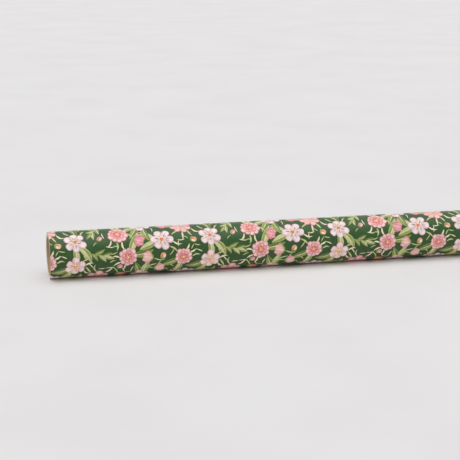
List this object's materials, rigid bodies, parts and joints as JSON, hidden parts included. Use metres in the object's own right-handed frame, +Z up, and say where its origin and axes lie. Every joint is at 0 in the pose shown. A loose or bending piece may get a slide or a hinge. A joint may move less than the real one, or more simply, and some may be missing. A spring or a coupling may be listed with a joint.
{
  "type": "wrapping paper roll",
  "caption": "Roll of printed gift wrapping paper wound on a cardboard core, lying on its side, with an outer turn that unrolls and taped edge tabs that peel.",
  "frame": {"origin": "on the surface the roll lies on, under the middle of the roll", "axes": "+X along the roll, +Y towards the back, +Z up"},
  "size_m": [0.762, 0.0439, 0.0435],
  "materials": {
    "printed_paper": "satin print outside, plain off-white inside",
    "kraft_board": "uncoated grey-brown board",
    "clear_tape": "clear, slightly frosted film",
    "tack_tape": "double-sided tape"
  },
  "bodies": {
    "roll": {"core_inner_ply": "kraft_board", "core_middle_ply": "kraft_board", "core_outer_ply": "kraft_board", "core_tack_tape": "tack_tape", "wound_sheet": "printed_paper", "under_turn": "printed_paper"},
    "outer_turn_strip_01": {"outer_turn_strip_01": "printed_paper"},
    "outer_turn_strip_02": {"outer_turn_strip_02": "printed_paper"},
    "outer_turn_strip_03": {"outer_turn_strip_03": "printed_paper"},
    "outer_turn_strip_04": {"outer_turn_strip_04": "printed_paper"},
    "outer_turn_strip_05": {"outer_turn_strip_05": "printed_paper"},
    "outer_turn_strip_06": {"outer_turn_strip_06": "printed_paper"},
    "outer_turn_strip_07": {"outer_turn_strip_07": "printed_paper"},
    "outer_turn_strip_08": {"outer_turn_strip_08": "printed_paper"},
    "outer_turn_strip_09": {"outer_turn_strip_09": "printed_paper"},
    "outer_turn_strip_10": {"outer_turn_strip_10": "printed_paper"},
    "outer_turn_strip_11": {"outer_turn_strip_11": "printed_paper"},
    "outer_turn_strip_12": {"outer_turn_strip_12": "printed_paper"},
    "outer_turn_strip_13": {"outer_turn_strip_13": "printed_paper"},
    "outer_turn_strip_14": {"outer_turn_strip_14": "printed_paper"},
    "outer_turn_strip_15": {"outer_turn_strip_15": "printed_paper"},
    "outer_turn_strip_16": {"outer_turn_strip_16": "printed_paper"},
    "outer_turn_strip_17": {"outer_turn_strip_17": "printed_paper"},
    "outer_turn_strip_18": {"outer_turn_strip_18": "printed_paper"},
    "outer_turn_strip_19": {"outer_turn_strip_19": "printed_paper"},
    "outer_turn_strip_20": {"outer_turn_strip_20": "printed_paper"},
    "outer_turn_strip_21": {"outer_turn_strip_21": "printed_paper"},
    "outer_turn_strip_22": {"outer_turn_strip_22": "printed_paper"},
    "outer_turn_strip_23": {"outer_turn_strip_23": "printed_paper"},
    "outer_turn_strip_24": {"outer_turn_strip_24": "printed_paper", "edge_tape_left_stuck": "clear_tape", "edge_tape_right_stuck": "clear_tape"},
    "edge_tape_left": {"edge_tape_left_pull": "clear_tape"},
    "edge_tape_right": {"edge_tape_right_pull": "clear_tape"}
  },
  "joints": [
    {"name": "unroll_outer_turn", "type": "hinge", "parent": "roll", "child": "outer_turn_strip_01", "pos_m": [0, -0.00228, 0], "axis": [1, 0, 0], "range_deg": [0, 12], "stiffness_Nm_per_rad": 0.1},
    {"name": "unroll_bend_02", "type": "hinge", "parent": "outer_turn_strip_01", "child": "outer_turn_strip_02", "pos_m": [0, -0.00674, 0.00094], "axis": [1, 0, 0], "range_deg": [0, 12], "stiffness_Nm_per_rad": 0.1},
    {"name": "unroll_bend_03", "type": "hinge", "parent": "outer_turn_strip_02", "child": "outer_turn_strip_03", "pos_m": [0, -0.0109, 0.00279], "axis": [1, 0, 0], "range_deg": [0, 12], "stiffness_Nm_per_rad": 0.1},
    {"name": "unroll_bend_04", "type": "hinge", "parent": "outer_turn_strip_03", "child": "outer_turn_strip_04", "pos_m": [0, -0.0146, 0.00546], "axis": [1, 0, 0], "range_deg": [0, 12], "stiffness_Nm_per_rad": 0.1},
    {"name": "unroll_bend_05", "type": "hinge", "parent": "outer_turn_strip_04", "child": "outer_turn_strip_05", "pos_m": [0, -0.01766, 0.00884], "axis": [1, 0, 0], "range_deg": [0, 12], "stiffness_Nm_per_rad": 0.1},
    {"name": "unroll_bend_06", "type": "hinge", "parent": "outer_turn_strip_05", "child": "outer_turn_strip_06", "pos_m": [0, -0.01995, 0.01279], "axis": [1, 0, 0], "range_deg": [0, 12], "stiffness_Nm_per_rad": 0.1},
    {"name": "unroll_bend_07", "type": "hinge", "parent": "outer_turn_strip_06", "child": "outer_turn_strip_07", "pos_m": [0, -0.02137, 0.01713], "axis": [1, 0, 0], "range_deg": [0, 12], "stiffness_Nm_per_rad": 0.1},
    {"name": "unroll_bend_08", "type": "hinge", "parent": "outer_turn_strip_07", "child": "outer_turn_strip_08", "pos_m": [0, -0.02185, 0.02167], "axis": [1, 0, 0], "range_deg": [0, 12], "stiffness_Nm_per_rad": 0.1},
    {"name": "unroll_bend_09", "type": "hinge", "parent": "outer_turn_strip_08", "child": "outer_turn_strip_09", "pos_m": [0, -0.02138, 0.02622], "axis": [1, 0, 0], "range_deg": [0, 12], "stiffness_Nm_per_rad": 0.1},
    {"name": "unroll_bend_10", "type": "hinge", "parent": "outer_turn_strip_09", "child": "outer_turn_strip_10", "pos_m": [0, -0.01998, 0.03057], "axis": [1, 0, 0], "range_deg": [0, 12], "stiffness_Nm_per_rad": 0.1},
    {"name": "unroll_bend_11", "type": "hinge", "parent": "outer_turn_strip_10", "child": "outer_turn_strip_11", "pos_m": [0, -0.0177, 0.03453], "axis": [1, 0, 0], "range_deg": [0, 12], "stiffness_Nm_per_rad": 0.1},
    {"name": "unroll_bend_12", "type": "hinge", "parent": "outer_turn_strip_11", "child": "outer_turn_strip_12", "pos_m": [0, -0.01465, 0.03794], "axis": [1, 0, 0], "range_deg": [0, 12], "stiffness_Nm_per_rad": 0.1},
    {"name": "unroll_bend_13", "type": "hinge", "parent": "outer_turn_strip_12", "child": "outer_turn_strip_13", "pos_m": [0, -0.01095, 0.04064], "axis": [1, 0, 0], "range_deg": [0, 12], "stiffness_Nm_per_rad": 0.1},
    {"name": "unroll_bend_14", "type": "hinge", "parent": "outer_turn_strip_13", "child": "outer_turn_strip_14", "pos_m": [0, -0.00677, 0.04251], "axis": [1, 0, 0], "range_deg": [0, 12], "stiffness_Nm_per_rad": 0.1},
    {"name": "unroll_bend_15", "type": "hinge", "parent": "outer_turn_strip_14", "child": "outer_turn_strip_15", "pos_m": [0, -0.00229, 0.04347], "axis": [1, 0, 0], "range_deg": [0, 12], "stiffness_Nm_per_rad": 0.1},
    {"name": "unroll_bend_16", "type": "hinge", "parent": "outer_turn_strip_15", "child": "outer_turn_strip_16", "pos_m": [0, 0.00229, 0.04347], "axis": [1, 0, 0], "range_deg": [0, 12], "stiffness_Nm_per_rad": 0.1},
    {"name": "unroll_bend_17", "type": "hinge", "parent": "outer_turn_strip_16", "child": "outer_turn_strip_17", "pos_m": [0, 0.00678, 0.04253], "axis": [1, 0, 0], "range_deg": [0, 12], "stiffness_Nm_per_rad": 0.1},
    {"name": "unroll_bend_18", "type": "hinge", "parent": "outer_turn_strip_17", "child": "outer_turn_strip_18", "pos_m": [0, 0.01097, 0.04067], "axis": [1, 0, 0], "range_deg": [0, 12], "stiffness_Nm_per_rad": 0.1},
    {"name": "unroll_bend_19", "type": "hinge", "parent": "outer_turn_strip_18", "child": "outer_turn_strip_19", "pos_m": [0, 0.01469, 0.03798], "axis": [1, 0, 0], "range_deg": [0, 12], "stiffness_Nm_per_rad": 0.1},
    {"name": "unroll_bend_20", "type": "hinge", "parent": "outer_turn_strip_19", "child": "outer_turn_strip_20", "pos_m": [0, 0.01776, 0.03458], "axis": [1, 0, 0], "range_deg": [0, 12], "stiffness_Nm_per_rad": 0.1},
    {"name": "unroll_bend_21", "type": "hinge", "parent": "outer_turn_strip_20", "child": "outer_turn_strip_21", "pos_m": [0, 0.02007, 0.03061], "axis": [1, 0, 0], "range_deg": [0, 12], "stiffness_Nm_per_rad": 0.1},
    {"name": "unroll_bend_22", "type": "hinge", "parent": "outer_turn_strip_21", "child": "outer_turn_strip_22", "pos_m": [0, 0.02149, 0.02624], "axis": [1, 0, 0], "range_deg": [0, 12], "stiffness_Nm_per_rad": 0.1},
    {"name": "unroll_bend_23", "type": "hinge", "parent": "outer_turn_strip_22", "child": "outer_turn_strip_23", "pos_m": [0, 0.02198, 0.02167], "axis": [1, 0, 0], "range_deg": [0, 12], "stiffness_Nm_per_rad": 0.1},
    {"name": "unroll_bend_24", "type": "hinge", "parent": "outer_turn_strip_23", "child": "outer_turn_strip_24", "pos_m": [0, 0.02151, 0.0171], "axis": [1, 0, 0], "range_deg": [0, 12], "stiffness_Nm_per_rad": 0.1},
    {"name": "peel_tape_left", "type": "hinge", "parent": "outer_turn_strip_24", "child": "edge_tape_left", "pos_m": [-0.19, 0.02015, 0.0127], "axis": [1, 0, 0], "range_deg": [0, 120]},
    {"name": "peel_tape_right", "type": "hinge", "parent": "outer_turn_strip_24", "child": "edge_tape_right", "pos_m": [0.19, 0.02015, 0.0127], "axis": [1, 0, 0], "range_deg": [0, 120]}
  ],
  "couplings": [
    {"joint": "unroll_bend_02", "follows": "unroll_outer_turn", "ratio": 1},
    {"joint": "unroll_bend_03", "follows": "unroll_outer_turn", "ratio": 1},
    {"joint": "unroll_bend_04", "follows": "unroll_outer_turn", "ratio": 1},
    {"joint": "unroll_bend_05", "follows": "unroll_outer_turn", "ratio": 1},
    {"joint": "unroll_bend_06", "follows": "unroll_outer_turn", "ratio": 1},
    {"joint": "unroll_bend_07", "follows": "unroll_outer_turn", "ratio": 1},
    {"joint": "unroll_bend_08", "follows": "unroll_outer_turn", "ratio": 1},
    {"joint": "unroll_bend_09", "follows": "unroll_outer_turn", "ratio": 1},
    {"joint": "unroll_bend_10", "follows": "unroll_outer_turn", "ratio": 1},
    {"joint": "unroll_bend_11", "follows": "unroll_outer_turn", "ratio": 1},
    {"joint": "unroll_bend_12", "follows": "unroll_outer_turn", "ratio": 1},
    {"joint": "unroll_bend_13", "follows": "unroll_outer_turn", "ratio": 1},
    {"joint": "unroll_bend_14", "follows": "unroll_outer_turn", "ratio": 1},
    {"joint": "unroll_bend_15", "follows": "unroll_outer_turn", "ratio": 1},
    {"joint": "unroll_bend_16", "follows": "unroll_outer_turn", "ratio": 1},
    {"joint": "unroll_bend_17", "follows": "unroll_outer_turn", "ratio": 1},
    {"joint": "unroll_bend_18", "follows": "unroll_outer_turn", "ratio": 1},
    {"joint": "unroll_bend_19", "follows": "unroll_outer_turn", "ratio": 1},
    {"joint": "unroll_bend_20", "follows": "unroll_outer_turn", "ratio": 1},
    {"joint": "unroll_bend_21", "follows": "unroll_outer_turn", "ratio": 1},
    {"joint": "unroll_bend_22", "follows": "unroll_outer_turn", "ratio": 1},
    {"joint": "unroll_bend_23", "follows": "unroll_outer_turn", "ratio": 1},
    {"joint": "unroll_bend_24", "follows": "unroll_outer_turn", "ratio": 1}
  ]
}
